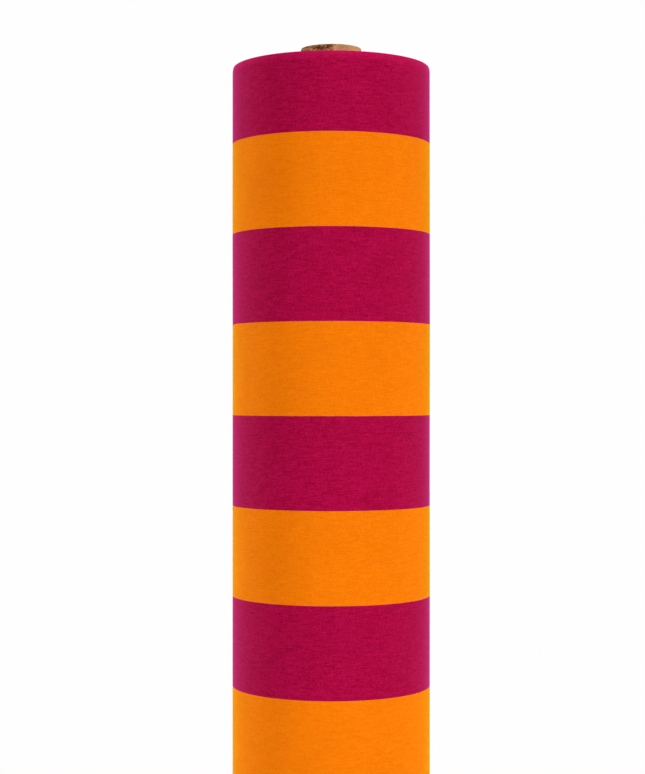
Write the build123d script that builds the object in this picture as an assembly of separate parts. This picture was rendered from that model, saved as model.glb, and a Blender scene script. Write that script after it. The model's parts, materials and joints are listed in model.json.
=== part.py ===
from build123d import *
import os
from math import ceil, cos, degrees, radians, sin

# A roll of striped canvas on a cardboard core, standing on end. All sizes are in millimetres.
#
# The roll's axis is Z, and the floor it stands on is Z = 0. The cloth is wound anticlockwise, seen
# from above, and its loose end, the tail, lies at the back, on the +Y side.
#
# The cloth is one woven length. Its outermost wrap and its tail are divided at each change of colour,
# because a node carries one colour, and the tail is also divided where it bends as it is lifted.

# --- Cloth, laid flat ---
STRIPE_WIDTH = 90.0
FULL_STRIPES = 15  # between the two narrower edge stripes; odd, so that both edges are crimson
EDGE_STRIPE_WIDTH = 76.5
CLOTH_THICKNESS = 0.85
WRAP_GAP = 0.3  # air between one outer wrap and the next

# --- Cardboard core ---
CORE_BORE_DIAMETER = 50.8
CORE_WALL = 5.0
CORE_OVERHANG = 20.0  # the core stands proud of the cloth at the top

# --- Roll ---
ROLL_DIAMETER = 198.0  # over the tail

# --- Tail ---
TAIL_LENGTH = 165.0  # along the cloth
TAIL_PARTS = ("inner", "middle", "end")  # from the root to the free edge
TAIL_CENTRE_ANGLE = 90.0  # degrees from +X
BEND_GAP = 0.3  # between two parts of the tail, so that they can turn

# --- Tape that holds the start of the cloth to the core ---
START_TAPE_WIDTH = 25.0
START_TAPE_THICKNESS = 0.15
START_TAPE_END_MARGIN = 30.0  # the tape stops this far short of the cloth's edges
START_TAPE_ANGLE = 90.0

# --- Tape tabs that hold the tail down ---
TAB_WIDTH = 48.0  # up the roll
TAB_ON_TAIL = 30.0  # along the cloth, stuck to the tail
TAB_PAST_TAIL = 28.0  # along the cloth, past the tail's free edge
TAB_THICKNESS = 0.15
TAB_EDGE_DISTANCE = 215.0  # from the cloth's edge to the middle of the upper and lower tabs
TAB_TIP_CLEARANCE = 0.3  # between the tail's free edge and the step in the tab

# --- Drawing ---
RUN_ANGLE = 4.0  # longest run in the arc of a thin piece, so that its facets keep its thickness

# --- Sizes that follow ---
CLOTH_WIDTH = FULL_STRIPES * STRIPE_WIDTH + 2 * EDGE_STRIPE_WIDTH
CORE_BORE_RADIUS = CORE_BORE_DIAMETER / 2
CORE_RADIUS = CORE_BORE_RADIUS + CORE_WALL
CORE_LENGTH = CLOTH_WIDTH + CORE_OVERHANG
WRAP_PITCH = CLOTH_THICKNESS + WRAP_GAP

TAIL_OUTER_RADIUS = ROLL_DIAMETER / 2
TAIL_INNER_RADIUS = TAIL_OUTER_RADIUS - CLOTH_THICKNESS
OUTER_WRAP_START_RADIUS = TAIL_INNER_RADIUS - WRAP_PITCH  # inner face, where the wrap leaves the wound cloth
WOUND_START_RADIUS = OUTER_WRAP_START_RADIUS - WRAP_GAP

TAIL_ANGLE = degrees(TAIL_LENGTH / TAIL_OUTER_RADIUS)
TAIL_ROOT_ANGLE = TAIL_CENTRE_ANGLE - TAIL_ANGLE / 2
TAIL_PART_ANGLE = TAIL_ANGLE / len(TAIL_PARTS)
HALF_TURN = 180.0


def at(radius, angle):
    """Returns the point at a radius and an angle in degrees from the roll's axis."""
    return Vector(radius * cos(radians(angle)), radius * sin(radians(angle)))


def angle_along(length, radius):
    """Returns the angle, in degrees, that an arc of this length and radius takes."""
    return degrees(length / radius)


def arc(radius, start, end, centre=Vector(0, 0)):
    """Returns the arc about centre from the start angle to the end angle."""
    return CenterArc((centre.X, centre.Y), radius, start, end - start)


def runs(radius, start, end):
    """Returns the arc about the roll's axis from the start angle to the end angle, in equal short runs."""
    count = ceil((end - start) / RUN_ANGLE)
    step = (end - start) / count
    return [arc(radius, start + i * step, start + (i + 1) * step) for i in range(count)]


def wrap_arcs(start_radius):
    """Returns the two half-turn arcs of one wrap that grows by the wrap pitch.

    The wrap starts at the tail's root angle. The second arc's centre is half a pitch to the side,
    so that the two arcs run into each other smoothly.
    """
    half = TAIL_ROOT_ANGLE + HALF_TURN
    shifted = at(WRAP_PITCH / 2, TAIL_ROOT_ANGLE)
    return [
        arc(start_radius, TAIL_ROOT_ANGLE, half),
        arc(start_radius + WRAP_PITCH / 2, half, half + HALF_TURN, shifted),
    ]


def outline(edges, corners):
    """Returns the face inside these arcs and the straight edges between pairs of corners."""
    return make_face(edges + [Line(a, b) for a, b in corners])


def sector(inner_radius, outer_radius, start, end):
    """Returns the flat face of part of a ring about the roll's axis."""
    return outline(
        runs(inner_radius, start, end) + runs(outer_radius, start, end),
        [(at(inner_radius, a), at(outer_radius, a)) for a in (start, end)],
    )


def raised(face, low, high):
    """Returns the solid over a flat face, from the height low to the height high, its runs kept apart."""
    return Pos(0, 0, low) * extrude(face, high - low, clean=False)


def stripe_heights():
    """Returns the (low, high) heights of every stripe, from the bottom edge stripe up."""
    tops = [EDGE_STRIPE_WIDTH + i * STRIPE_WIDTH for i in range(FULL_STRIPES + 1)] + [CLOTH_WIDTH]
    return list(zip([0.0] + tops[:-1], tops))


def striped(face):
    """Returns the solids over a face as {colour: group}, one solid for each stripe."""
    heights = stripe_heights()
    return {
        "crimson": Compound(children=[raised(face, *h) for h in heights[0::2]]),
        "orange": Compound(children=[raised(face, *h) for h in heights[1::2]]),
    }


def core_tube():
    """Returns the cardboard tube, open from end to end."""
    return raised(Circle(CORE_RADIUS) - Circle(CORE_BORE_RADIUS), 0, CORE_LENGTH)


def start_tape():
    """Returns the strip of tape between the core and the first wrap."""
    half = angle_along(START_TAPE_WIDTH / 2, CORE_RADIUS)
    face = sector(
        CORE_RADIUS,
        CORE_RADIUS + START_TAPE_THICKNESS,
        START_TAPE_ANGLE - half,
        START_TAPE_ANGLE + half,
    )
    return raised(face, START_TAPE_END_MARGIN, CLOTH_WIDTH - START_TAPE_END_MARGIN)


def wound_cloth():
    """Returns every wrap but the outermost as one body, tight on the core and over the start tape.

    Its outside is one turn of the winding, and the step at the tail's root angle is where the
    outermost wrap goes on.
    """
    step = (at(WOUND_START_RADIUS, TAIL_ROOT_ANGLE), at(WOUND_START_RADIUS + WRAP_PITCH, TAIL_ROOT_ANGLE))
    face = outline(wrap_arcs(WOUND_START_RADIUS), [step]) - Circle(CORE_RADIUS)
    return raised(face, 0, CLOTH_WIDTH) - start_tape()


def outer_wrap():
    """Returns the outermost full wrap, striped. It starts at the step and ends at the tail's root."""
    inner, outer = OUTER_WRAP_START_RADIUS, OUTER_WRAP_START_RADIUS + CLOTH_THICKNESS
    start = (at(inner, TAIL_ROOT_ANGLE), at(outer, TAIL_ROOT_ANGLE))
    end = (at(inner + WRAP_PITCH, TAIL_ROOT_ANGLE), at(outer + WRAP_PITCH, TAIL_ROOT_ANGLE))
    return striped(outline(wrap_arcs(inner) + wrap_arcs(outer), [start, end]))


def tail_part(index):
    """Returns one part of the tail, striped. It stops half a bend gap short of the parts beside it."""
    clear = angle_along(BEND_GAP / 2, TAIL_OUTER_RADIUS)
    start = TAIL_ROOT_ANGLE + index * TAIL_PART_ANGLE + clear
    is_last = index == len(TAIL_PARTS) - 1
    end = TAIL_ROOT_ANGLE + (index + 1) * TAIL_PART_ANGLE - (0 if is_last else clear)
    return striped(sector(TAIL_INNER_RADIUS, TAIL_OUTER_RADIUS, start, end))


def tape_tab(middle_height):
    """Returns a tape tab that lies on the tail, steps down past its free edge and lies over the wrap."""
    free_edge = TAIL_ROOT_ANGLE + TAIL_ANGLE
    start = free_edge - angle_along(TAB_ON_TAIL, TAIL_OUTER_RADIUS)
    step = free_edge + angle_along(TAB_TIP_CLEARANCE, TAIL_INNER_RADIUS)
    step_out = step + angle_along(TAB_THICKNESS, TAIL_OUTER_RADIUS)
    end = free_edge + angle_along(TAB_PAST_TAIL, TAIL_INNER_RADIUS)
    on_tail, over_tail = TAIL_OUTER_RADIUS, TAIL_OUTER_RADIUS + TAB_THICKNESS
    on_wrap, over_wrap = TAIL_INNER_RADIUS, TAIL_INNER_RADIUS + TAB_THICKNESS
    face = outline(
        [
            arc(on_tail, start, step),
            arc(on_wrap, step, end),
            arc(over_wrap, step_out, end),
            arc(over_tail, start, step_out),
        ],
        [
            (at(on_tail, step), at(on_wrap, step)),
            (at(on_wrap, end), at(over_wrap, end)),
            (at(over_wrap, step_out), at(over_tail, step_out)),
            (at(over_tail, start), at(on_tail, start)),
        ],
    )
    return raised(face, middle_height - TAB_WIDTH / 2, middle_height + TAB_WIDTH / 2)


def all_parts():
    """Returns every sub-part as {node name: shape}."""
    parts = {
        "core_tube": core_tube(),
        "start_tape": start_tape(),
        "wound_cloth": wound_cloth(),
    }
    parts |= {f"outer_wrap_{colour}": group for colour, group in outer_wrap().items()}
    for index, name in enumerate(TAIL_PARTS):
        parts |= {f"tail_{name}_{colour}": group for colour, group in tail_part(index).items()}
    parts["tape_tab_lower"] = tape_tab(TAB_EDGE_DISTANCE)
    parts["tape_tab_middle"] = tape_tab(CLOTH_WIDTH / 2)
    parts["tape_tab_upper"] = tape_tab(CLOTH_WIDTH - TAB_EDGE_DISTANCE)
    return parts


os.makedirs("parts", exist_ok=True)
for node, shape in all_parts().items():
    export_step(shape, f"parts/{node}.step")
for index, name in enumerate(TAIL_PARTS):
    hinge = at(TAIL_OUTER_RADIUS, TAIL_ROOT_ANGLE + index * TAIL_PART_ANGLE)
    print(f"bend line of tail_{name}: x {hinge.X:.4f} mm, y {hinge.Y:.4f} mm, along Z")
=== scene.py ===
"""The looks of a roll of striped cotton canvas on a spiral-wound cardboard core, standing on end.

Lengths are in metres, in the frame of the part: Z is the roll's axis, the floor is Z = 0, the front is -Y,
and the cloth's loose end, the tail, lies at the back. The cloth is made as it is in a mill: each length is
laid flat, striped across its width, given its thickness and its edges, and only then wound. The flat sizes
stay with it as its UV map, so the weave follows the cloth wherever it goes.
"""

import json
import logging
import math
import random
from collections.abc import Callable
from dataclasses import dataclass, field
from enum import Enum

import bmesh
import bpy
from mathutils import Matrix, Vector, noise

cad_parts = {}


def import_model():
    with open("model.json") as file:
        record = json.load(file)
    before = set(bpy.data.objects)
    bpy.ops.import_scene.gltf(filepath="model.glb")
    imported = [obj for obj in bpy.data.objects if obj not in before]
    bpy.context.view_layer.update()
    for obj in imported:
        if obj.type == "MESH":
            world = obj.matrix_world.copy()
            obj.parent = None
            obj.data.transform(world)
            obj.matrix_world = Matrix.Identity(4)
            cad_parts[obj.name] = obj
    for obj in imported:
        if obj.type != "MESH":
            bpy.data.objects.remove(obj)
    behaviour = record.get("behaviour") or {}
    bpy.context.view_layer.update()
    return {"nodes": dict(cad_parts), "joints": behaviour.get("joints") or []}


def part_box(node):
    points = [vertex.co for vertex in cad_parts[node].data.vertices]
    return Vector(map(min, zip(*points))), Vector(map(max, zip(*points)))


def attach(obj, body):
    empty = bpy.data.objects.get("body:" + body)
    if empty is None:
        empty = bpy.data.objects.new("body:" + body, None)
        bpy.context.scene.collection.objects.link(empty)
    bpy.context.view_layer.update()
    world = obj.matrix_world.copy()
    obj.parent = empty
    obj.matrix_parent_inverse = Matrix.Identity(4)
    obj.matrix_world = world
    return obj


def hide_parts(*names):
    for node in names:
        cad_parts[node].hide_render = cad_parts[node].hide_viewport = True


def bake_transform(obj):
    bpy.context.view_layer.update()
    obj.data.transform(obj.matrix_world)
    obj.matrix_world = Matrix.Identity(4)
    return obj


LOG = logging.getLogger("fabric_roll")
MM = 0.001
CANVAS_UV = "canvas"  # metres along the cloth, metres across it
WEAR = "wear"  # a vertex attribute: 0 is sound, 1 is torn
NOISE_SPAN = (0.3, 0.7)  # nearly all of a noise lies between these

FULL_STRIPES = 15  # between the two edge stripes
CORE_BORE = 50.8 * MM
TAB_PLACES = ("lower", "middle", "upper")

Tree = bpy.types.NodeTree
Socket = bpy.types.NodeSocket
Material = bpy.types.Material
Piece = bpy.types.Object
Mesh = bmesh.types.BMesh
Span = tuple[float, float]


def linear(code: str) -> tuple[float, float, float, float]:
    """Turns an sRGB colour into the linear one that a shader takes.

    Args:
        code: Six hex digits, red first.

    Returns:
        Red, green, blue and an alpha of 1.
    """
    parts = (int(code[i : i + 2], 16) / 255 for i in (0, 2, 4))
    return (*(c / 12.92 if c <= 0.04045 else ((c + 0.055) / 1.055) ** 2.4 for c in parts), 1.0)


def feed(tree: Tree, node: bpy.types.Node, inputs: dict) -> None:
    """Links or sets a node's inputs.

    Args:
        tree: The node tree.
        node: The node.
        inputs: Input name or number to a value, or to the output socket that feeds it.
    """
    for key, value in inputs.items():
        if isinstance(value, Socket):
            tree.links.new(value, node.inputs[key])
        else:
            node.inputs[key].default_value = value


def add_node(tree: Tree, kind: str, links: dict | None = None, **settings: object) -> bpy.types.Node:
    """Adds a node with its settings and its links.

    Args:
        tree: The node tree.
        kind: The node's type, without its "ShaderNode" prefix.
        links: Input name or number to a value, or to the output socket that feeds it.
        settings: The node's own properties.

    Returns:
        The new node.
    """
    node = tree.nodes.new("ShaderNode" + kind)
    for name, value in settings.items():
        setattr(node, name, value)
    feed(tree, node, links or {})
    return node


def worked_out(tree: Tree, operation: str, *values: float | Socket) -> Socket:
    """Returns the result of a sum, a product or another operation on numbers."""
    return add_node(tree, "Math", dict(enumerate(values)), operation=operation).outputs[0]


def ranged(tree: Tree, value: Socket, span: Span, to: Span = (0.0, 1.0), **settings: object) -> Socket:
    """Stretches a value from one span to another, and holds it at the ends.

    Args:
        tree: The node tree.
        value: The value.
        span: The ends of what it covers.
        to: What each end becomes.
        settings: The node's own properties.

    Returns:
        The stretched value.
    """
    ends = {"From Min": span[0], "From Max": span[1], "To Min": to[0], "To Max": to[1]}
    return add_node(tree, "MapRange", {"Value": value, **ends}, **settings).outputs[0]


def mixed(
    tree: Tree, share: float | Socket, first: tuple | Socket, second: tuple | Socket, **settings: object
) -> Socket:
    """Mixes two colours.

    Args:
        tree: The node tree.
        share: How much of the second colour, from 0 to 1.
        first: The first colour.
        second: The second colour.
        settings: The node's own properties.

    Returns:
        The mixed colour.
    """
    inputs = {"Factor": share, 6: first, 7: second}
    return add_node(tree, "Mix", inputs, data_type="RGBA", **settings).outputs[2]


def clouds(
    tree: Tree, place: Socket, scale: float = 1.0, inputs: dict | None = None, **settings: object
) -> Socket:
    """Adds a noise.

    Args:
        tree: The node tree.
        place: Where the noise is read.
        scale: How many clouds to a unit of place.
        inputs: Its other inputs.
        settings: The node's own properties.

    Returns:
        A value about 0.5.
    """
    given = {"Vector": place, "Scale": scale} | (inputs or {})
    return add_node(tree, "TexNoise", given, **settings).outputs["Fac"]


def shaded(tree: Tree, colour: Socket | tuple, shade: Socket) -> Socket:
    """Returns a colour made darker or lighter by a shade about 1."""
    return mixed(tree, 1.0, colour, shade, blend_type="MULTIPLY")


def new_material(name: str) -> tuple[Material, Tree, bpy.types.Node]:
    """Makes a material that is still plain.

    Args:
        name: The material's name.

    Returns:
        The material, its node tree and its shader.
    """
    made = bpy.data.materials.new(name)
    made.use_nodes = True
    return made, made.node_tree, made.node_tree.nodes["Principled BSDF"]


def smooth(value: float) -> float:
    """Returns a value from 0 to 1 eased at both ends, and held there outside them."""
    t = min(1.0, max(0.0, value))
    return t * t * (3 - 2 * t)


# ----------------------------------------------------------------------------------------------- finishes


class Stripe(Enum):
    """The two yarn-dyed colours of the canvas, and the face slot that each takes."""

    CRIMSON = 0
    ORANGE = 1


@dataclass(frozen=True)
class CanvasFinish:
    """Plain-woven cotton canvas, dyed in the yarn, with the heavy warp running round the roll.

    The warp covers the weft, so the colour is deep and even. The spun yarns are uneven: a thick, loose
    stretch is paler and a thin, hard one deeper, which shows as short streaks along the warp and, fainter,
    across it. The fuzz on the yarns catches light at a grazing angle. It is matt, with no gloss of its own.
    """

    name: str
    thin: str  # sRGB hex: a thin, hard-twisted stretch of yarn
    thick: str  # sRGB hex: a thick, loose stretch of yarn
    fuzz: str  # sRGB hex: the light that the fuzz throws back
    width: float  # of the cloth
    contrast: float = 1.5  # of the streaks
    selvedge: float = 9.0 * MM  # the fringed strip at each edge, which a painted highlight draws paler
    selvedge_painted_highlight: float = 0.8
    warp_pitch: float = 0.8 * MM  # the real yarns are 0.5 mm apart, drawn coarser so that they show
    weft_pitch: float = 1.1 * MM  # the real picks are 0.7 mm apart
    relief: float = 0.12 * MM  # how far a yarn's crown stands over the furrow
    relief_strength: float = 0.7
    dive: float = 0.45  # how high a yarn still stands where it dives under a pick
    slub_length: float = 12.0 * MM
    slub_weight: float = 0.85
    speck_length: float = 1.6 * MM
    speck_weight: float = 1.0
    pick_length: float = 5.0 * MM
    pick_weight: float = 0.45
    yarn_jumps: tuple[float, float, float] = (7.3, 13.7, 5.9)  # from one yarn's noise to the next one's
    cloud_length: float = 70.0 * MM  # slow changes of shade along and across the cloth
    cloud_shades: Span = (0.97, 1.03)
    weave_painted_shades: Span = (0.88, 1.14)  # painted shade in a furrow and painted highlight on a crown
    yarn_roughness: Span = (0.98, 0.86)
    gloss: float = 0.03
    sheen: float = 1.0
    sheen_roughness: float = 0.31

    def material(self) -> Material:
        """Builds the material.

        Returns:
            The material.
        """
        made, tree, shader = new_material(self.name)
        lie = add_node(tree, "UVMap", uv_map=CANVAS_UV).outputs["UV"]
        place = add_node(tree, "SeparateXYZ", {0: lie})
        along, across = place.outputs["X"], place.outputs["Y"]
        warp = worked_out(tree, "DIVIDE", across, self.warp_pitch)
        weft = worked_out(tree, "DIVIDE", along, self.weft_pitch)
        yarn = worked_out(tree, "FLOOR", warp)
        pick = worked_out(tree, "FLOOR", weft)
        height = self._weave_height(tree, warp, weft, yarn)
        thickness = self._thickness(tree, along, across, yarn, pick)

        # the yarn's thickness, plus a painted highlight that makes the strip at each woven edge paler
        paleness_and_painted_highlight = worked_out(tree, "ADD", thickness, self._selvedge_painted_highlight(tree, across))
        dyed = mixed(tree, paleness_and_painted_highlight, linear(self.thin), linear(self.thick), clamp_factor=False)
        cloud = clouds(tree, lie, 1 / self.cloud_length, {"Detail": 3.0, "Roughness": 0.6})
        drift = ranged(tree, cloud, NOISE_SPAN, self.cloud_shades)
        # painted shade and highlight: the weave's furrows are drawn darker and its yarn crowns lighter
        painted_weave_shade = ranged(tree, height, (0.0, 1.0), self.weave_painted_shades)
        bump = {"Strength": self.relief_strength, "Distance": self.relief, "Height": height}
        feed(tree, shader, {
            "Base Color": shaded(tree, dyed, worked_out(tree, "MULTIPLY", drift, painted_weave_shade)),
            "Roughness": ranged(tree, height, (0.0, 1.0), self.yarn_roughness),
            "Normal": add_node(tree, "Bump", bump).outputs[0],
            "Specular IOR Level": self.gloss,
            "Sheen Weight": self.sheen,
            "Sheen Roughness": self.sheen_roughness,
            "Sheen Tint": linear(self.fuzz),
        })
        return made

    def _thickness(self, tree: Tree, along: Socket, across: Socket, yarn: Socket, pick: Socket) -> Socket:
        """Adds how thick and loose the yarn is.

        Args:
            tree: The material's node tree.
            along: The place along the cloth, in metres.
            across: The place across the cloth, in metres.
            yarn: The number of the warp yarn.
            pick: The number of the pick.

        Returns:
            A value from 0, thin and hard, to 1, thick and loose.
        """
        slub_jump, speck_jump, pick_jump = self.yarn_jumps
        streaks = (
            (self._yarn_noise(tree, along, yarn, self.slub_length, slub_jump), self.slub_weight),
            (self._yarn_noise(tree, along, yarn, self.speck_length, speck_jump), self.speck_weight),
            (self._yarn_noise(tree, across, pick, self.pick_length, pick_jump), self.pick_weight),
        )
        tone, middle = 0.0, 0.0
        for streak, weight in streaks:
            tone = worked_out(tree, "MULTIPLY_ADD", streak, weight, tone)
            middle += weight / 2
        half = middle / 2 / self.contrast
        return ranged(tree, tone, (middle - half, middle + half))

    def _selvedge_painted_highlight(self, tree: Tree, across: Socket) -> Socket:
        """Adds a painted highlight near a woven edge: the light that the edge catches, drawn as paler cloth.

        Args:
            tree: The material's node tree.
            across: The place across the cloth, in metres.

        Returns:
            The painted highlight at the edge, down to 0 where the edge strip ends.
        """
        other_side = worked_out(tree, "SUBTRACT", self.width, across)
        from_edge = worked_out(tree, "MINIMUM", across, other_side)
        return ranged(tree, from_edge, (0.0, self.selvedge), (self.selvedge_painted_highlight, 0.0))

    def _weave_height(self, tree: Tree, warp: Socket, weft: Socket, yarn: Socket) -> Socket:
        """Adds the height of a plain weave: round yarns that dive under every second pick, in turn.

        Args:
            tree: The material's node tree.
            warp: The place across the cloth, in warp yarns.
            weft: The place along the cloth, in picks.
            yarn: The number of the warp yarn.

        Returns:
            A height from 0, in the furrow, to 1, on a yarn's crown.
        """
        wave = worked_out(tree, "SINE", worked_out(tree, "MULTIPLY", warp, math.pi))
        roundness = worked_out(tree, "ABSOLUTE", wave)
        step = worked_out(tree, "ADD", weft, yarn)
        dive = worked_out(tree, "SINE", worked_out(tree, "MULTIPLY", step, math.pi))
        return worked_out(tree, "MULTIPLY", roundness, ranged(tree, dive, (-1.0, 1.0), (self.dive, 1.0)))

    def _yarn_noise(self, tree: Tree, along: Socket, yarn: Socket, length: float, jump: float) -> Socket:
        """Adds a noise that changes slowly along a yarn and not at all like it on the next yarn.

        Args:
            tree: The material's node tree.
            along: The place along the yarn, in metres.
            yarn: The number of the yarn.
            length: How long a thick or thin stretch is.
            jump: How far apart two yarns read the noise, in its own units.

        Returns:
            A value about 0.5.
        """
        x = worked_out(tree, "DIVIDE", along, length)
        y = worked_out(tree, "MULTIPLY", yarn, jump)
        at = add_node(tree, "CombineXYZ", {"X": x, "Y": y}).outputs[0]
        return clouds(tree, at, inputs={"Detail": 1.0}, noise_dimensions="2D")


@dataclass(frozen=True)
class KraftBoardFinish:
    """Unbleached kraft paper, wound in a spiral and glued: matt, with a dull calendered skin.

    Long fibres show as short flecks along the paper. Where the outer ply is torn off, the board under it is
    darker and felted, with pale loose fibres beside pits that painted shade draws dark.
    """

    name: str = "spiral_wound_kraft_board"
    skin: str = "E2B076"
    fleck: str = "BE8850"
    felt: str = "93602F"
    loose: str = "D9A878"  # fibres that stand out of the torn face
    # sRGB hex: painted shade, the shadow in the pits of the torn face drawn as dark brown
    pit: str = "4E2504"
    fibre_length: float = 3.0 * MM
    fibre_width: float = 0.5 * MM
    tuft_length: float = 3.4 * MM
    tuft_height: float = 1.5 * MM
    climb: float = 0.35  # the angle at which the paper goes round the tube
    mottle: float = 11.0 * MM
    mottle_shades: Span = (0.72, 1.16)
    fleck_from: Span = (0.48, 0.72)
    loose_from: Span = (0.5, 0.66)
    torn_from: Span = (0.25, 0.45)
    pit_shade_from: Span = (0.12, 0.5)
    raggedness: float = 0.22  # of the torn skin's edge
    roughness: Span = (0.72, 0.95)  # of the skin and of the torn face
    relief: float = 0.12 * MM
    relief_strength: float = 0.6
    gloss: float = 0.25

    def material(self) -> Material:
        """Builds the material.

        Returns:
            The material.
        """
        made, tree, shader = new_material(self.name)
        place = add_node(tree, "TexCoord").outputs["Object"]
        wear = add_node(tree, "Attribute", attribute_name=WEAR, attribute_type="GEOMETRY").outputs["Fac"]
        fibres = self._stretched_noise(tree, place, self.fibre_length, self.fibre_width, 4.0)
        tufts = self._stretched_noise(tree, place, self.tuft_length, self.tuft_height, 2.0)
        blotch = clouds(tree, place, 1 / self.mottle, {"Detail": 3.0})

        flecks = ranged(tree, fibres, self.fleck_from)
        skin = mixed(tree, flecks, linear(self.skin), linear(self.fleck))
        felt = mixed(tree, ranged(tree, tufts, self.loose_from), linear(self.felt), linear(self.loose))
        ragged = ranged(tree, fibres, NOISE_SPAN, (-self.raggedness, self.raggedness))
        torn_at = worked_out(tree, "ADD", wear, ragged)
        torn = ranged(tree, torn_at, self.torn_from)
        # painted shade: the pits in the torn face are drawn dark
        painted_pit_shade = ranged(tree, worked_out(tree, "SUBTRACT", torn_at, tufts), self.pit_shade_from)
        worn = mixed(tree, painted_pit_shade, mixed(tree, torn, skin, felt), linear(self.pit))
        bump = {"Strength": self.relief_strength, "Distance": self.relief, "Height": fibres}
        feed(tree, shader, {
            "Base Color": shaded(tree, worn, ranged(tree, blotch, NOISE_SPAN, self.mottle_shades)),
            "Roughness": ranged(tree, torn, (0.0, 1.0), self.roughness),
            "Normal": add_node(tree, "Bump", bump).outputs[0],
            "Specular IOR Level": self.gloss,
        })
        return made

    def _stretched_noise(
        self, tree: Tree, place: Socket, length: float, height: float, detail: float
    ) -> Socket:
        """Adds a noise that is longer along the paper than across it.

        Args:
            tree: The material's node tree.
            place: The place on the tube.
            length: Along the paper, which climbs the tube a little as it goes round.
            height: Across the paper.
            detail: The noise's detail.

        Returns:
            A value about 0.5.
        """
        scale = (1 / length, 1 / length, 1 / height)
        turned = {"Vector": place, "Rotation": (0.0, self.climb, 0.0), "Scale": scale}
        lie = add_node(tree, "Mapping", turned).outputs[0]
        return clouds(tree, lie, inputs={"Detail": detail, "Roughness": 0.65})


@dataclass(frozen=True)
class CrepeTapeFinish:
    """Creped paper tape: a matt paper, finely wrinkled across its length, a little stained, with painted
    shade in the wrinkles' valleys.
    """

    name: str
    paper: str
    # sRGB hex: painted shade, the colour drawn in the crepe's valleys
    valley_painted_shade: str
    crepe: float = 0.7 * MM  # the real wrinkles are 0.3 mm apart
    stretch: float = 0.12  # of a wrinkle across the tape, against along it
    stain: float = 1 / 60.0
    stain_shades: Span = (0.93, 1.03)
    roughness: Span = (0.8, 0.62)  # in a valley and on a ridge
    relief: float = 0.1 * MM
    relief_strength: float = 0.5
    gloss: float = 0.3

    def material(self) -> Material:
        """Builds the material.

        Returns:
            The material.
        """
        made, tree, shader = new_material(self.name)
        place = add_node(tree, "TexCoord").outputs["Object"]
        scale = (1 / self.crepe, 1 / self.crepe, self.stretch / self.crepe)
        lie = add_node(tree, "Mapping", {"Vector": place, "Scale": scale}).outputs[0]
        wrinkle = clouds(tree, lie, inputs={"Detail": 2.0, "Distortion": 0.4})
        stain = clouds(tree, place, 1 / self.stain, {"Detail": 2.0})
        depth = ranged(tree, wrinkle, NOISE_SPAN)
        # painted shade: the crepe's valleys are drawn darker than its ridges
        face = mixed(tree, depth, linear(self.valley_painted_shade), linear(self.paper))
        bump = {"Strength": self.relief_strength, "Distance": self.relief, "Height": wrinkle}
        feed(tree, shader, {
            "Base Color": shaded(tree, face, ranged(tree, stain, NOISE_SPAN, self.stain_shades)),
            "Roughness": ranged(tree, depth, (0.0, 1.0), self.roughness),
            "Normal": add_node(tree, "Bump", bump).outputs[0],
            "Specular IOR Level": self.gloss,
        })
        return made


@dataclass(frozen=True)
class StudioFloorFinish:
    """White seamless studio paper: matt and almost even, with a faint fibre. It fades out at its rim."""

    name: str = "white_background_paper"
    paper: str = "FBFBFA"
    fibre: float = 1 / 90.0
    fibre_shades: Span = (0.985, 1.0)
    fade: Span = (1.6, 2.9)  # from its middle
    roughness: float = 0.9
    gloss: float = 0.1

    def material(self) -> Material:
        """Builds the material.

        Returns:
            The material.
        """
        made, tree, shader = new_material(self.name)
        place = add_node(tree, "TexCoord").outputs["Object"]
        fibre = clouds(tree, place, 1 / self.fibre, {"Detail": 4.0})
        shade = ranged(tree, fibre, (0.0, 1.0), self.fibre_shades)
        out_by = add_node(tree, "VectorMath", {0: place}, operation="LENGTH").outputs["Value"]
        feed(tree, shader, {
            "Base Color": shaded(tree, linear(self.paper), shade),
            "Alpha": ranged(tree, out_by, self.fade, (1.0, 0.0), interpolation_type="SMOOTHSTEP"),
            "Roughness": self.roughness,
            "Specular IOR Level": self.gloss,
        })
        return made


# -------------------------------------------------------------------------------------------------- cloth


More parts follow.
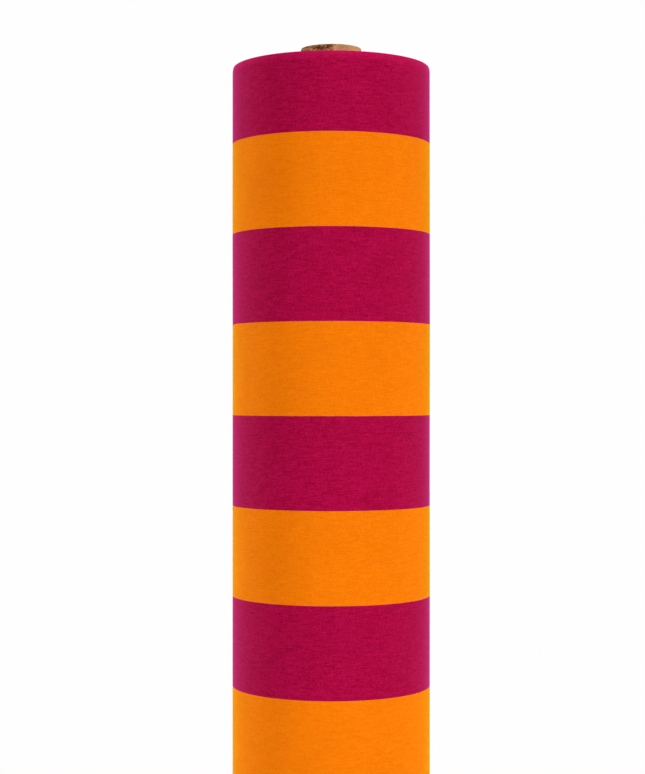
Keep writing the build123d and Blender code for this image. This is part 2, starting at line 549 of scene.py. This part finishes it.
@dataclass(frozen=True)
class Winding:
    """The way the cloth goes round the core: a spiral that grows by one pitch each turn.

    Args:
        start_radius: The middle of the cloth's thickness where it starts on the core.
        root_radius: The middle of the cloth's thickness at the tail's root.
        root_angle: The tail's root, anticlockwise from +X, in radians.
        pitch: How much the radius grows in a turn.
    """

    start_radius: float
    root_radius: float
    root_angle: float
    pitch: float
    shoulder_height: float = 5.5 * MM  # the outermost wraps round over towards the core at their edges
    shoulder_inset: float = 1.3 * MM
    shoulder_turns: float = 8.0  # wraps in from the outside over which that fades
    slack: float = 0.22 * MM  # how far the outermost wraps stand off here and there
    slack_turns: float = 3.0
    wander: float = 0.8 * MM  # how far the cloth's edge drifts up the roll

    @property
    def root_turn(self) -> float:
        """The angle wound from the cloth's start to the tail's root, in radians."""
        return math.tau * (self.root_radius - self.start_radius) / self.pitch

    def length_at(self, turn: float) -> float:
        """Returns the length of cloth wound by a turning angle."""
        return self.start_radius * turn + self.pitch * turn * turn / (2 * math.tau)

    def turn_at(self, length: float) -> float:
        """Returns the turning angle that winds a length of cloth."""
        grow = self.pitch / math.tau
        return (math.sqrt(self.start_radius**2 + 2 * grow * length) - self.start_radius) / grow

    def place(self, length: float, width: float, rise: float, cloth_width: float) -> Vector:
        """Winds one point of the flat cloth.

        Args:
            length: Along the cloth, from its start on the core.
            width: Across the cloth, from its lower edge.
            rise: Out of the cloth, from the middle of its thickness.
            cloth_width: The cloth's whole width.

        Returns:
            The point on the roll.
        """
        turn = self.turn_at(length)
        angle = self.root_angle + turn - self.root_turn
        wraps_in = max(0.0, (self.root_turn - turn) / math.tau)
        from_edge = min(width, cloth_width - width)
        over = min(1.0, max(0.0, 1 - from_edge / self.shoulder_height))
        rounding = 1 - math.sqrt(1 - over * over)
        inset = self.shoulder_inset * rounding * math.exp(-wraps_in / self.shoulder_turns)
        bulge = self.slack * math.exp(-wraps_in / self.slack_turns) * self._unevenness(angle, width)
        radius = self.start_radius + self.pitch * turn / math.tau + rise + bulge - inset
        height = width + self.wander * (0.5 + 0.5 * self._drift(length))
        return Vector((radius * math.cos(angle), radius * math.sin(angle), height))

    @staticmethod
    def _unevenness(angle: float, width: float) -> float:
        """Returns how far the cloth stands off at a place on the roll, from 0 to 1."""
        where = Vector((1.7 * math.cos(angle), 1.7 * math.sin(angle), width * 7.0))
        return 0.5 + 0.5 * max(-1.0, min(1.0, 1.6 * noise.noise(where)))

    @staticmethod
    def _drift(length: float) -> float:
        """Finds how far the edge has drifted.

        Args:
            length: Along the cloth.

        Returns:
            The drift, from -1 to 1.
        """
        slow = noise.noise(Vector((length * 0.9, 3.1, 0.0)))
        quick = noise.noise(Vector((length * 5.0, 9.7, 0.0)))
        return max(-1.0, min(1.0, 1.1 * slow + 0.7 * quick))


@dataclass(frozen=True)
class StripeLayout:
    """Where each colour runs, across the cloth's width."""

    width: float
    edge: float  # each of the two edge stripes
    full: float  # each stripe between them

    def boundaries(self) -> list[float]:
        """Returns every height where one colour meets the next."""
        count = round((self.width - 2 * self.edge) / self.full)
        return [self.edge + i * self.full for i in range(count + 1)]

    def colour_at(self, height: float) -> Stripe:
        """Returns the colour at a place across the cloth."""
        below = sum(height > b for b in self.boundaries())
        return Stripe.ORANGE if below % 2 else Stripe.CRIMSON


def slab(columns: int, rows: int, thickness: float, place: Callable[[float, float], Vector]) -> Mesh:
    """Builds a thin closed slab: X along it, Y across it, Z out of it.

    Args:
        columns: How many columns of faces it has.
        rows: How many rows.
        thickness: How thick it is.
        place: Takes a point of an even grid, from 0 to 1 each way, to its place on the under side.

    Returns:
        The slab.
    """
    sheet = bmesh.new()
    bmesh.ops.create_grid(sheet, x_segments=columns, y_segments=rows, size=0.5)
    for vert in sheet.verts:
        vert.co = place(vert.co.x + 0.5, vert.co.y + 0.5)
    upper = bmesh.ops.extrude_face_region(sheet, geom=sheet.faces[:])["geom"]
    lifted = [item for item in upper if isinstance(item, bmesh.types.BMVert)]
    bmesh.ops.translate(sheet, vec=(0, 0, thickness), verts=lifted)
    bmesh.ops.recalc_face_normals(sheet, faces=sheet.faces[:])
    return sheet


@dataclass
class FlatLength:
    """A length of the canvas laid flat, in columns along it and rows across it, ready to be wound."""

    name: str
    columns: list[float]
    rows: list[float]
    thickness: float
    layout: StripeLayout
    cut_end: bool = False  # the last column is the cloth's free, cut edge
    edge_round: float = 0.28 * MM
    rim_angle: float = math.radians(60)  # faces that meet at more than this meet at the rim

    def wind(self, winding: Winding, materials: list[Material]) -> Piece:
        """Builds the flat slab, rounds its edges, keeps its flat sizes as UVs and winds it.

        Args:
            winding: The path it takes.
            materials: The crimson and the orange canvas.

        Returns:
            The wound piece, linked to the scene.
        """
        sheet = slab(len(self.columns) - 1, len(self.rows) - 1, self.thickness, self._spot)
        self._round_edges(sheet)
        self._mark_joins(sheet)
        layer = sheet.loops.layers.uv.new(CANVAS_UV)
        for face in sheet.faces:
            face.smooth = True
            face.material_index = self.layout.colour_at(face.calc_center_median().y).value
            for corner in face.loops:
                corner[layer].uv = corner.vert.co.xy
        width = self.layout.width
        for vert in sheet.verts:
            vert.co = winding.place(vert.co.x, vert.co.y, vert.co.z, width)
        return piece_from(sheet, self.name, materials)

    def _spot(self, along: float, across: float) -> Vector:
        """Returns where a point of an even grid lies on the under side."""
        column, row = round(along * (len(self.columns) - 1)), round(across * (len(self.rows) - 1))
        return Vector((self.columns[column], self.rows[row], -self.thickness / 2))

    def _is_rim(self, edge: bmesh.types.BMEdge) -> bool:
        """True for an edge where a face of the cloth meets its thin rim."""
        return abs(edge.calc_face_angle(0.0)) > self.rim_angle

    def _round_edges(self, sheet: Mesh) -> None:
        """Rounds the woven edges, and the cut edge where this length has it.

        Args:
            sheet: The flat slab.
        """
        low, high = self.rows[0], self.rows[-1]
        rims = []
        for edge in filter(self._is_rim, sheet.edges):
            a, b = (vert.co for vert in edge.verts)
            on_side = a.y == b.y and (a.y == low or a.y == high)
            on_cut = self.cut_end and a.x == b.x == self.columns[-1]
            if (on_side or on_cut) and a.z == b.z:
                rims.append(edge)
        shape = {"offset": self.edge_round, "offset_type": "OFFSET", "segments": 2, "profile": 0.5}
        bmesh.ops.bevel(sheet, geom=rims, affect="EDGES", material=-1, clamp_overlap=True, **shape)

    def _mark_joins(self, sheet: Mesh) -> None:
        """Marks sharp the square edges where this length goes on as the next one.

        Args:
            sheet: The flat slab.
        """
        for edge in sheet.edges:
            if self._is_rim(edge):
                edge.smooth = False


def piece_from(mesh_data: Mesh, name: str, materials: list[Material]) -> Piece:
    """Turns a bmesh into a piece at the origin, linked to the scene.

    Args:
        mesh_data: The finished bmesh, freed here.
        name: The piece's name.
        materials: Its material slots in order.

    Returns:
        The new object.
    """
    mesh = bpy.data.meshes.new(name)
    mesh_data.to_mesh(mesh)
    mesh_data.free()
    for material in materials:
        mesh.materials.append(material)
    made = bpy.data.objects.new(name, mesh)
    bpy.context.scene.collection.objects.link(made)
    return made


@dataclass
class ClothRoll:
    """The canvas: what is wound tight on the core, its outermost full wrap, and the tail in three lengths."""

    layout: StripeLayout
    materials: list[Material]
    core_radius: float
    root_angle: float
    outer_radius: float  # over the tail's root
    tail_length: float
    thickness: float = 0.85 * MM
    pitch: float = 0.92 * MM
    core_gap: float = 0.18 * MM  # room for the tape under the first wrap
    wound_step: float = math.radians(6.4)  # between two columns
    wrap_step: float = math.radians(2.0)
    tail_step: float = math.radians(1.0)
    row_height: float = 18.0 * MM
    edge_rows: tuple[float, ...] = (0.5 * MM, 1.0 * MM, 1.8 * MM, 2.8 * MM, 4.0 * MM, 5.6 * MM)
    tail_parts: tuple[str, ...] = ("tail_inner", "tail_middle", "tail_end")
    root_lead: float = 7.0 * MM  # the start of the first bend is found this far before the tail's root, and not used
    bend_reach: float = 27.0 * MM  # the ends of a bend are found this far to each side of its line, and not used
    winding: Winding = field(init=False)

    def __post_init__(self) -> None:
        """Works out the spiral from the core's and the roll's radii."""
        self.winding = Winding(
            start_radius=self.core_radius + self.core_gap + self.thickness / 2,
            root_radius=self.outer_radius - self.thickness / 2,
            root_angle=self.root_angle,
            pitch=self.pitch,
        )

    @property
    def root_length(self) -> float:
        """Length of cloth from its start on the core to the tail's root."""
        return self.winding.length_at(self.winding.root_turn)

    @property
    def free_edge(self) -> float:
        """Length of cloth from its start on the core to its cut edge."""
        return self.root_length + self.tail_length

    def build(self) -> list[Piece]:
        """Builds every length of the cloth, from the core out.

        Returns:
            The pieces, from the core out.
        """
        part = self.tail_length / len(self.tail_parts)
        wrap_end = self.root_length - part / 2  # the lengths join halfway between two bend lines
        first = self._columns(0.0, self._wrap_start(), self.wound_step)
        outer = self._columns(self._wrap_start(), wrap_end, self.wrap_step)
        pieces = [self._wound(first), self._outer_wrap(outer)]
        return pieces + self._tail(wrap_end)

    def _wrap_start(self) -> float:
        """Length of cloth at the start of the outermost full wrap."""
        return self.winding.length_at(self.winding.root_turn - math.tau)

    def _columns(self, start: float, end: float, step: float) -> list[float]:
        """Divides a length of cloth at equal angles on the roll.

        Args:
            start: Where it starts along the cloth.
            end: Where it ends.
            step: The most that two columns are apart, in radians.

        Returns:
            Every column's place along the cloth.
        """
        first, last = self.winding.turn_at(start), self.winding.turn_at(end)
        count = math.ceil((last - first) / step)
        between = (self.winding.length_at(first + (last - first) * i / count) for i in range(1, count))
        return [start, *between, end]

    def _rows(self) -> list[float]:
        """Places the rows across the cloth: at each change of colour, between them, and close at its edges.

        Returns:
            Every row's height.
        """
        width = self.layout.width
        marks = [max(self.edge_rows), *self.layout.boundaries(), width - max(self.edge_rows)]
        rows = {0.0, width, *self.edge_rows, *(width - e for e in self.edge_rows)}
        for low, high in zip(marks, marks[1:]):
            count = math.ceil((high - low) / self.row_height)
            rows.update(low + (high - low) * i / count for i in range(count + 1))
        return sorted(rows)

    def _wound(self, columns: list[float]) -> Piece:
        """Builds every wrap but the outermost. Only the ends show, so it has rows only there.

        Args:
            columns: Its columns along the cloth.

        Returns:
            The piece.
        """
        width = self.layout.width
        rows = sorted({0.0, width, *self.edge_rows[1::2], *(width - e for e in self.edge_rows[1::2])})
        flat = FlatLength("cloth_wound", columns, rows, self.thickness, self.layout)
        made = flat.wind(self.winding, self.materials[:1])
        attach(made, "roll")
        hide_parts("wound_cloth")
        return made

    def _outer_wrap(self, columns: list[float]) -> Piece:
        """Builds the outermost full wrap, which is what shows of the cloth nearly all the way round.

        Args:
            columns: Its columns along the cloth.

        Returns:
            The piece.
        """
        flat = FlatLength("cloth_outer_wrap", columns, self._rows(), self.thickness, self.layout)
        made = flat.wind(self.winding, self.materials)
        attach(made, "roll")
        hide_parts("outer_wrap_crimson", "outer_wrap_orange")
        return made

    def _tail(self, start: float) -> list[Piece]:
        """Builds the tail in three lengths, each across one of the lines of the tail's joints.

        Args:
            start: Where the first one starts along the cloth.

        Returns:
            The pieces, from the roll out.
        """
        part = self.tail_length / len(self.tail_parts)
        bodies = ("roll", *self.tail_parts)
        made = []
        for i, body in enumerate(self.tail_parts):
            is_last = i == len(self.tail_parts) - 1
            end = self.free_edge if is_last else self.root_length + (i + 0.5) * part
            columns, rows = self._columns(start, end, self.tail_step), self._rows()
            flat = FlatLength(f"cloth_{body}", columns, rows, self.thickness, self.layout, cut_end=is_last)
            piece = flat.wind(self.winding, self.materials)
            line = self.root_length + i * part
            before = self.root_lead if i == 0 else self.bend_reach
            bend_start, bend_end = self._on_face(line - before), self._on_face(line + self.bend_reach)
            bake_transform(piece)
            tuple(bend_start)
            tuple(bend_end)
            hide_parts(f"{body}_crimson", f"{body}_orange")
            made.append(piece)
            start = end
        return made

    def _on_face(self, length: float) -> Vector:
        """Returns the point on the outer face of the cloth, at a length, level with the floor."""
        found = self.winding.place(length, self.layout.width / 2, self.thickness / 2, self.layout.width)
        return Vector((found.x, found.y, 0.0))


@dataclass
class FrayedEdge:
    """The warp yarns that stand out of the tail's cut edge, where the last picks have come away."""

    cloth: ClothRoll
    tapes: list[float]  # heights of the middles of the tape tabs, which hold the yarns flat
    tape_width: float
    beside_tape: float = 4.0 * MM  # more of the edge than the tape's width has no loose yarns
    count: int = 460
    yarn_radius: float = 0.17 * MM
    shortest: float = 0.8 * MM
    longest: float = 5.5 * MM
    buried: float = 0.6 * MM  # inside the cloth
    joints: int = 4
    taper: float = 0.86  # of the yarn's width at each joint
    from_corner: float = 1.5 * MM  # the outermost yarn stands this far from the woven edge
    scatter: Span = (0.15, 0.85)  # where a yarn stands in its own share of the edge
    lean: Span = (-0.5, 0.5)  # of a tip aside, as a share of its reach
    lift: Span = (-0.05, 0.22)  # of a tip out of the cloth
    shortness: float = 2.2  # the higher, the fewer long yarns
    seed: int = 11

    def build(self) -> Piece:
        """Builds the frayed yarns in flat cloth sizes and winds them on at the cut edge.

        Returns:
            The piece.
        """
        draw = random.Random(self.seed)
        fringe = bmesh.new()
        fringe.loops.layers.uv.new(CANVAS_UV)
        width = self.cloth.layout.width
        covered = (self.tape_width + self.beside_tape) / 2
        for i in range(self.count):
            across = width * (i + draw.uniform(*self.scatter)) / self.count
            across = min(width - self.from_corner, max(self.from_corner, across))
            reach = self.shortest + (self.longest - self.shortest) * draw.random() ** self.shortness
            lean, lift = draw.uniform(*self.lean), draw.uniform(*self.lift)
            if all(abs(across - middle) > covered for middle in self.tapes):
                self._add_yarn(fringe, across, reach, lean, lift)
        for vert in fringe.verts:
            along = self.cloth.free_edge + vert.co.x
            vert.co = self.cloth.winding.place(along, vert.co.y, vert.co.z, width)
        bmesh.ops.recalc_face_normals(fringe, faces=fringe.faces[:])
        made = piece_from(fringe, "tail_frayed_yarns", self.cloth.materials)
        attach(made, "tail_end")
        return made

    def _add_yarn(self, fringe: Mesh, across: float, reach: float, lean: float, lift: float) -> None:
        """Adds one yarn: a thin tapering tube, bent aside and a little out of the cloth.

        Args:
            fringe: The bmesh that it goes in.
            across: Where it stands, across the cloth.
            reach: How far it stands out.
            lean: How far its tip leans aside, as a share of its reach.
            lift: How far its tip lifts out of the cloth, as a share of its reach.
        """
        stripe = self.cloth.layout.colour_at(across).value
        turn = Matrix.Translation((-self.buried, across, 0.0)) @ Matrix.Rotation(math.pi / 2, 4, "Y")
        size = {"segments": 3, "radius": self.yarn_radius}
        root = bmesh.ops.create_circle(fringe, cap_ends=True, matrix=turn, **size)["verts"]
        tip = root[0].link_faces[0]
        made = set(tip.verts)
        step = (reach + self.buried) / self.joints
        for k in range(1, self.joints + 1):
            grown = bmesh.ops.extrude_face_region(fringe, geom=[tip])["geom"]
            tip = next(item for item in grown if isinstance(item, bmesh.types.BMFace))
            share, share_before = k / self.joints, (k - 1) / self.joints
            aside = lean * reach * (share**2 - share_before**2)
            out = lift * reach * (share**1.5 - share_before**1.5)
            bmesh.ops.translate(fringe, vec=(step, aside, out), verts=tip.verts[:])
            about = Matrix.Translation(-tip.calc_center_median())
            bmesh.ops.scale(fringe, vec=(1.0, self.taper, self.taper), space=about, verts=tip.verts[:])
            made.update(tip.verts)
        layer = fringe.loops.layers.uv[CANVAS_UV]
        for face in {f for vert in made for f in vert.link_faces}:
            face.material_index = stripe
            face.smooth = True
            for corner in face.loops:
                corner[layer].uv = corner.vert.co.xy


# ------------------------------------------------------------------------------------------- core and tape


@dataclass
class CoreTube:
    """The cardboard core: plies of kraft paper wound in a spiral, saw-cut at both ends.

    Its outer ply ends at a seam that climbs the tube. Beside the seam the ply is torn away at the upper end,
    and the rim there is bruised.
    """

    bore_radius: float
    radius: float
    length: float
    overhang: float
    material: Material
    plies: int = 8
    steps: int = 192  # round the tube
    rings: int = 20  # of vertices above the cloth
    ply_groove: float = 0.16 * MM
    ply_step: float = 0.07 * MM  # the saw leaves the plies uneven by this
    seam_lead: float = 260.0 * MM  # the seam climbs this far in one turn
    seam_angle: float = math.radians(-74.0)  # where it meets the upper rim
    tear_width: float = math.radians(118.0)  # of the torn stretch, clockwise from the seam
    tear_depth: float = 0.45 * MM
    tear_height: float = 11.0 * MM  # from the rim down, more or less
    tear_edge: float = 1.2 * MM  # over which the torn skin ends below
    bruise_angle: float = math.radians(-104.0)
    bruise_width: float = math.radians(24.0)
    bruise_depth: float = 1.1 * MM
    bruise_below: float = 3.2 * MM  # below the rim
    bruise_height: float = 2.2 * MM
    rim_roughness: float = 0.25 * MM
    rim_height: float = 1.5 * MM
    crease: float = math.radians(35)  # an edge sharper than this stays sharp

    def build(self) -> Piece:
        """Spins the wall's outline, then tears and bruises its upper end.

        Returns:
            The piece.
        """
        tube = bmesh.new()
        outline = [tube.verts.new((r, 0.0, z)) for r, z in self._outline()]
        edges = [tube.edges.new(pair) for pair in zip(outline, outline[1:] + outline[:1])]
        turn = {"cent": (0, 0, 0), "axis": (0, 0, 1), "angle": math.tau, "steps": self.steps}
        bmesh.ops.spin(tube, geom=outline + edges, use_merge=True, **turn)
        bmesh.ops.remove_doubles(tube, verts=tube.verts[:], dist=1e-6)
        bmesh.ops.recalc_face_normals(tube, faces=tube.faces[:])
        wear = tube.verts.layers.float.new(WEAR)
        for vert in tube.verts:
            vert.co, vert[wear] = self._worn(vert.co.copy())
        for face in tube.faces:
            face.smooth = True
        for edge in tube.edges:
            edge.smooth = edge.calc_face_angle(0.0) < self.crease
        made = piece_from(tube, "core_tube_wound_board", [self.material])
        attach(made, "roll")
        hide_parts("core_tube")
        return made

    def _outline(self) -> list[tuple[float, float]]:
        """Draws the wall's outline, from the outer face round both ends.

        Returns:
            The outline's points as (radius, height).
        """
        shown = [self.length - self.overhang * k / self.rings for k in range(self.rings + 2, 0, -1)]
        outer = [(self.radius, z) for z in [0.4 * MM, self.length / 2, *shown, self.length - 0.35 * MM]]
        inner = [(self.bore_radius, z) for z in (self.length - 0.3 * MM, self.length - 12 * MM, 0.4 * MM)]
        return outer + self._cut_end(self.length, -1) + inner + self._cut_end(0.0, 1)[::-1]

    def _cut_end(self, height: float, inward: int) -> list[tuple[float, float]]:
        """Returns a saw-cut end from the outside in: each ply's edge, with a groove between two plies.

        Args:
            height: The height of the end.
            inward: 1 where the tube is above the end, -1 where it is below.

        Returns:
            The outline's points as (radius, height).
        """
        ply = (self.radius - self.bore_radius) / self.plies
        points = []
        for k in range(self.plies):
            outside = self.radius - k * ply
            high = self.ply_step * (k % 3)
            points += [(outside - share * ply, height + inward * high) for share in (0.2, 0.8)]
            if k < self.plies - 1:
                points.append((outside - ply, height + inward * self.ply_groove))
        return points

    def _worn(self, at: Vector) -> tuple[Vector, float]:
        """Returns where wear moves a point of the sound tube, and how worn it is there.

        Args:
            at: The point on the sound tube.

        Returns:
            The point as it is, and its wear from 0 to 1.
        """
        angle, radius = math.atan2(at.y, at.x), math.hypot(at.x, at.y)
        below = self.length - at.z
        outside = smooth((radius - self.bore_radius) / (self.radius - self.bore_radius) * 3 - 2)
        seam = self.seam_angle - math.tau * below / self.seam_lead
        ragged = 0.10 * noise.noise(at * 420.0)
        past = ((seam - angle + ragged) % math.tau) / self.tear_width
        low = self.tear_height * (0.7 + 0.6 * noise.noise(Vector((angle * 2.2, 4.0, 0.0))))
        torn = smooth(past * 14) * smooth((1 - past) * 9) * smooth((low - below) / self.tear_edge) * outside
        around = (angle - self.bruise_angle + math.pi) % math.tau - math.pi
        reach = ((below - self.bruise_below) / self.bruise_height) ** 2 + (around / self.bruise_width) ** 2
        dented = 0.75 + 0.9 * noise.noise(at * 300.0 + Vector((3.0, 1.0, 7.0)))
        pit = math.exp(-1.4 * reach) * dented * outside
        in_by = self.tear_depth * torn * (0.8 + 0.4 * noise.noise(at * 900.0)) + self.bruise_depth * pit
        rim = smooth(1 - below / self.rim_height) * self.rim_roughness
        moved = Vector((math.cos(angle), math.sin(angle), 0.0)) * (radius - in_by)
        moved.z = at.z - rim * abs(noise.noise(Vector((angle * 14.0, radius * 500.0, 2.0)))) * (0.4 + torn)
        return moved, min(1.0, 0.5 * torn + 0.6 * max(0.0, pit))


@dataclass
class TapeTab:
    """A short piece of creped paper tape across the tail's free edge, torn off a toothed dispenser."""

    name: str
    cloth: ClothRoll
    middle: float  # height of its middle
    width: float  # up the roll
    material: Material
    node: str
    on_tail: float = 30.0 * MM  # along the cloth, before the free edge
    past_tail: float = 28.0 * MM  # along the cloth, after it
    thickness: float = 0.15 * MM
    gap: float = 0.05 * MM
    tooth: float = 1.6 * MM
    tooth_depth: float = 0.9 * MM
    step_length: float = 3.2 * MM  # over which the tape comes down from the tail to the wrap
    pucker: float = 0.28 * MM
    pucker_reach: float = 9.0 * MM  # it puckers most this near to the step
    columns: int = 58
    rows: int = 60

    def build(self) -> Piece:
        """Builds the tab flat, with its toothed ends and puckers, and lays it on the roll.

        Returns:
            The piece.
        """
        tab = slab(self.columns, self.rows, self.thickness, self._flat)
        for face in tab.faces:
            face.smooth = abs(face.normal.z) > 0.5
        for vert in tab.verts:
            vert.co = self._laid(vert.co.copy())
        made = piece_from(tab, self.name, [self.material])
        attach(made, "tail_end")
        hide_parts(self.node)
        return made

    def _flat(self, along: float, across: float) -> Vector:
        """Returns a point of the flat tab.

        Args:
            along: From 0, at the end on the tail, to 1.
            across: From 0, at the lower side, to 1.

        Returns:
            Along the cloth from its free edge, across the tape from its middle, and out of the cloth.
        """
        teeth = self.tooth_depth * abs((across * self.width / self.tooth) % 1.0 - 0.5) * 2
        x = -self.on_tail + teeth * (1 - along) + along * (self.on_tail + self.past_tail - teeth)
        y = (across - 0.5) * self.width
        ridge = noise.noise(Vector((x * 240.0, y * 26.0, self.middle * 9.0)))
        near_step = math.exp(-((x / self.pucker_reach) ** 2))
        return Vector((x, y, self.pucker * max(0.0, ridge) * (0.35 + 0.65 * near_step)))

    def _laid(self, at: Vector) -> Vector:
        """Finds where a point of the flat tab lies on the roll.

        Args:
            at: Along the cloth from its free edge, across the tape from its middle, and out of the cloth.

        Returns:
            The point on the roll.
        """
        cloth = self.cloth
        down = cloth.pitch * smooth((at.x - 0.2 * MM) / self.step_length)
        rise = cloth.thickness / 2 + self.gap + at.z - down
        height = self.middle + at.y
        return cloth.winding.place(cloth.free_edge + at.x, height, rise, cloth.layout.width)


# -------------------------------------------------------------------------------------------------- studio


@dataclass
class Studio:
    """A plain white studio: a pale floor, a white surround, soft boxes and the camera."""

    camera_distance: float = 1.7548  # from the roll's axis
    camera_height: float = 1.1770
    camera_aside: float = -0.00845  # the roll stands a little to the right of the middle
    lens: float = 81.39  # mm, on a 36 mm long side
    rise: float = 0.0101  # the lens is shifted up by this share of the picture's long side
    floor_radius: float = 3.0
    lit_height: float = 0.9  # the soft boxes face the roll's axis here
    surround_top: float = 1.0  # how strongly the surround lights from straight above
    surround_sides: float = 0.15
    surround_under: float = 0.3
    background: float = 0.99  # how bright the camera sees it

    def build(self) -> None:
        """Builds the world, the floor, the lights and the camera."""
        scene = bpy.context.scene
        scene.view_settings.view_transform = "Standard"
        scene.view_settings.look = "None"
        self._world(scene)
        self._floor()
        self._lights()
        self._camera(scene)

    def _world(self, scene: bpy.types.Scene) -> None:
        """Sets a white surround. It lights more from above than from the sides, and shows as plain white.

        Args:
            scene: The scene.
        """
        world = bpy.data.worlds.new("white_surround")
        world.use_nodes = True
        tree = world.node_tree
        way = add_node(tree, "SeparateXYZ", {0: add_node(tree, "TexCoord").outputs["Generated"]}).outputs["Z"]
        upper = ranged(tree, way, (0.0, 1.0), (self.surround_sides, self.surround_top))
        under = worked_out(tree, "LESS_THAN", way, 0.0)
        light = {"Factor": under, 2: upper, 3: self.surround_under}
        lit = add_node(tree, "Mix", light, data_type="FLOAT").outputs[0]
        seen = {"Factor": add_node(tree, "LightPath").outputs["Is Camera Ray"], 2: lit, 3: self.background}
        strength = add_node(tree, "Mix", seen, data_type="FLOAT").outputs[0]
        feed(tree, tree.nodes["Background"], {"Strength": strength, "Color": (1, 1, 1, 1)})
        scene.world = world

    def _floor(self) -> None:
        """Lays the floor, a round sheet that fades out at its rim."""
        disc = bmesh.new()
        bmesh.ops.create_circle(disc, cap_ends=True, segments=96, radius=self.floor_radius)
        floor = piece_from(disc, "studio_floor", [StudioFloorFinish().material()])

    def _lights(self) -> None:
        """Hangs the soft boxes: one in front, a strip behind on each side, and a fill for the back."""
        self._soft_box("key", azimuth=24, elevation=12, distance=2.6, size=(0.9, 2.0), power=30.5)
        self._soft_box("left_strip", azimuth=-120, elevation=6, distance=2.2, size=(0.6, 2.2), power=30)
        self._soft_box("right_strip", azimuth=120, elevation=6, distance=2.2, size=(0.6, 2.2), power=12)
        self._soft_box("back", azimuth=184, elevation=20, distance=3.0, size=(1.6, 2.0), power=18)

    def _soft_box(
        self, name: str, azimuth: float, elevation: float, distance: float, size: Span, power: float
    ) -> None:
        """Hangs one rectangular soft light that faces the roll's middle.

        Args:
            name: The light's name.
            azimuth: Degrees to the right of straight in front.
            elevation: Degrees above the roll's middle.
            distance: From the roll's middle.
            size: Its width and height.
            power: In watts.
        """
        a, e = math.radians(azimuth), math.radians(elevation)
        middle = Vector((0.0, 0.0, self.lit_height))
        way = Vector((math.sin(a) * math.cos(e), -math.cos(a) * math.cos(e), math.sin(e)))
        lamp = bpy.data.lights.new(name, "AREA")
        lamp.shape = "RECTANGLE"
        lamp.size, lamp.size_y = size
        lamp.energy = power
        made = bpy.data.objects.new(name, lamp)
        made.location = middle + way * distance
        made.rotation_euler = way.to_track_quat("Z", "Y").to_euler()
        made.visible_camera = False
        bpy.context.scene.collection.objects.link(made)

    def _camera(self, scene: bpy.types.Scene) -> None:
        """Sets the camera level, in front of the upper part of the roll.

        Args:
            scene: The scene.
        """
        data = bpy.data.cameras.new("camera")
        data.sensor_width = 36.0
        data.lens = self.lens
        data.shift_y = self.rise
        made = bpy.data.objects.new("camera", data)
        made.location = (self.camera_aside, -self.camera_distance, self.camera_height)
        made.rotation_euler = (math.pi / 2, 0.0, 0.0)
        scene.collection.objects.link(made)
        scene.camera = made


def joint_line(frame: dict, name: str) -> Vector:
    """Returns a point on a joint's axis, from the frame."""
    return Vector(next(j["pos_m"] for j in frame["joints"] if j["name"] == name))


def cloth_from(frame: dict) -> ClothRoll:
    """Sizes the cloth from the frame and dyes it.

    Args:
        frame: What the frame holds.

    Returns:
        The cloth, not built yet.
    """
    low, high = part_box("wound_cloth")
    width, edge = high.z - low.z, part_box("outer_wrap_orange")[0].z - low.z
    dyed = {"thin": "96012D", "thick": "BE0E4E", "fuzz": "FF56C0"}
    crimson = CanvasFinish("yarn_dyed_cotton_canvas_crimson", width=width, **dyed)
    dyed = {"thin": "F46D01", "thick": "FF8A09", "fuzz": "FFE000"}
    orange = CanvasFinish("yarn_dyed_cotton_canvas_orange", width=width, contrast=1.2, **dyed)
    root, next_line = joint_line(frame, "tail_lift"), joint_line(frame, "tail_curl_middle")
    root_angle = math.atan2(root.y, root.x)
    part_angle = math.atan2(next_line.y, next_line.x) - root_angle
    outer_radius = math.hypot(root.x, root.y)
    return ClothRoll(
        layout=StripeLayout(width=width, edge=edge, full=(width - 2 * edge) / FULL_STRIPES),
        materials=[crimson.material(), orange.material()],
        core_radius=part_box("core_tube")[1].x,
        root_angle=root_angle,
        outer_radius=outer_radius,
        tail_length=3 * part_angle * outer_radius,
    )


def core_from(board: Material) -> CoreTube:
    """Sizes the core from the frame.

    Args:
        board: Its cardboard.

    Returns:
        The core, not built yet.
    """
    high, cloth_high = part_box("core_tube")[1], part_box("wound_cloth")[1]
    return CoreTube(
        bore_radius=CORE_BORE / 2,
        radius=high.x,
        length=high.z,
        overhang=high.z - cloth_high.z,
        material=board,
    )


def tabs_from(cloth: ClothRoll, tape: Material) -> list[TapeTab]:
    """Sizes the tape tabs from the frame.

    Args:
        cloth: The cloth that they hold.
        tape: Their paper.

    Returns:
        The tabs, not built yet, from the lowest up.
    """
    tabs = []
    for place in TAB_PLACES:
        low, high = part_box(f"tape_tab_{place}")
        middle, width = (low.z + high.z) / 2, high.z - low.z
        tabs.append(TapeTab(f"paper_tape_{place}", cloth, middle, width, tape, f"tape_tab_{place}"))
    return tabs


def main() -> None:
    """Loads the frame and builds the roll and the studio round it."""
    logging.basicConfig(level=logging.INFO, format="%(message)s")
    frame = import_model()
    Studio().build()

    board = KraftBoardFinish().material()
    white_tape = CrepeTapeFinish("creped_paper_tape_white", paper="DFD7C4", valley_painted_shade="C2B8A1").material()
    buff_tape = CrepeTapeFinish("creped_masking_tape_buff", paper="E0CB94", valley_painted_shade="C4AC74").material()
    cloth = cloth_from(frame)
    tabs = tabs_from(cloth, white_tape)
    fray = FrayedEdge(cloth, tapes=[tab.middle for tab in tabs], tape_width=tabs[0].width)

    made = [core_from(board).build(), *cloth.build(), *(tab.build() for tab in tabs), fray.build()]
    start_tape = frame["nodes"]["start_tape"]
    start_tape.data.materials.clear()
    start_tape.data.materials.append(buff_tape)
    LOG.info("cloth: %.2f m long, %.1f turns", cloth.free_edge, cloth.winding.root_turn / math.tau)
    for piece in made:
        LOG.info("%s: %d faces", piece.name, len(piece.data.polygons))


if __name__ == "__main__":
    main()
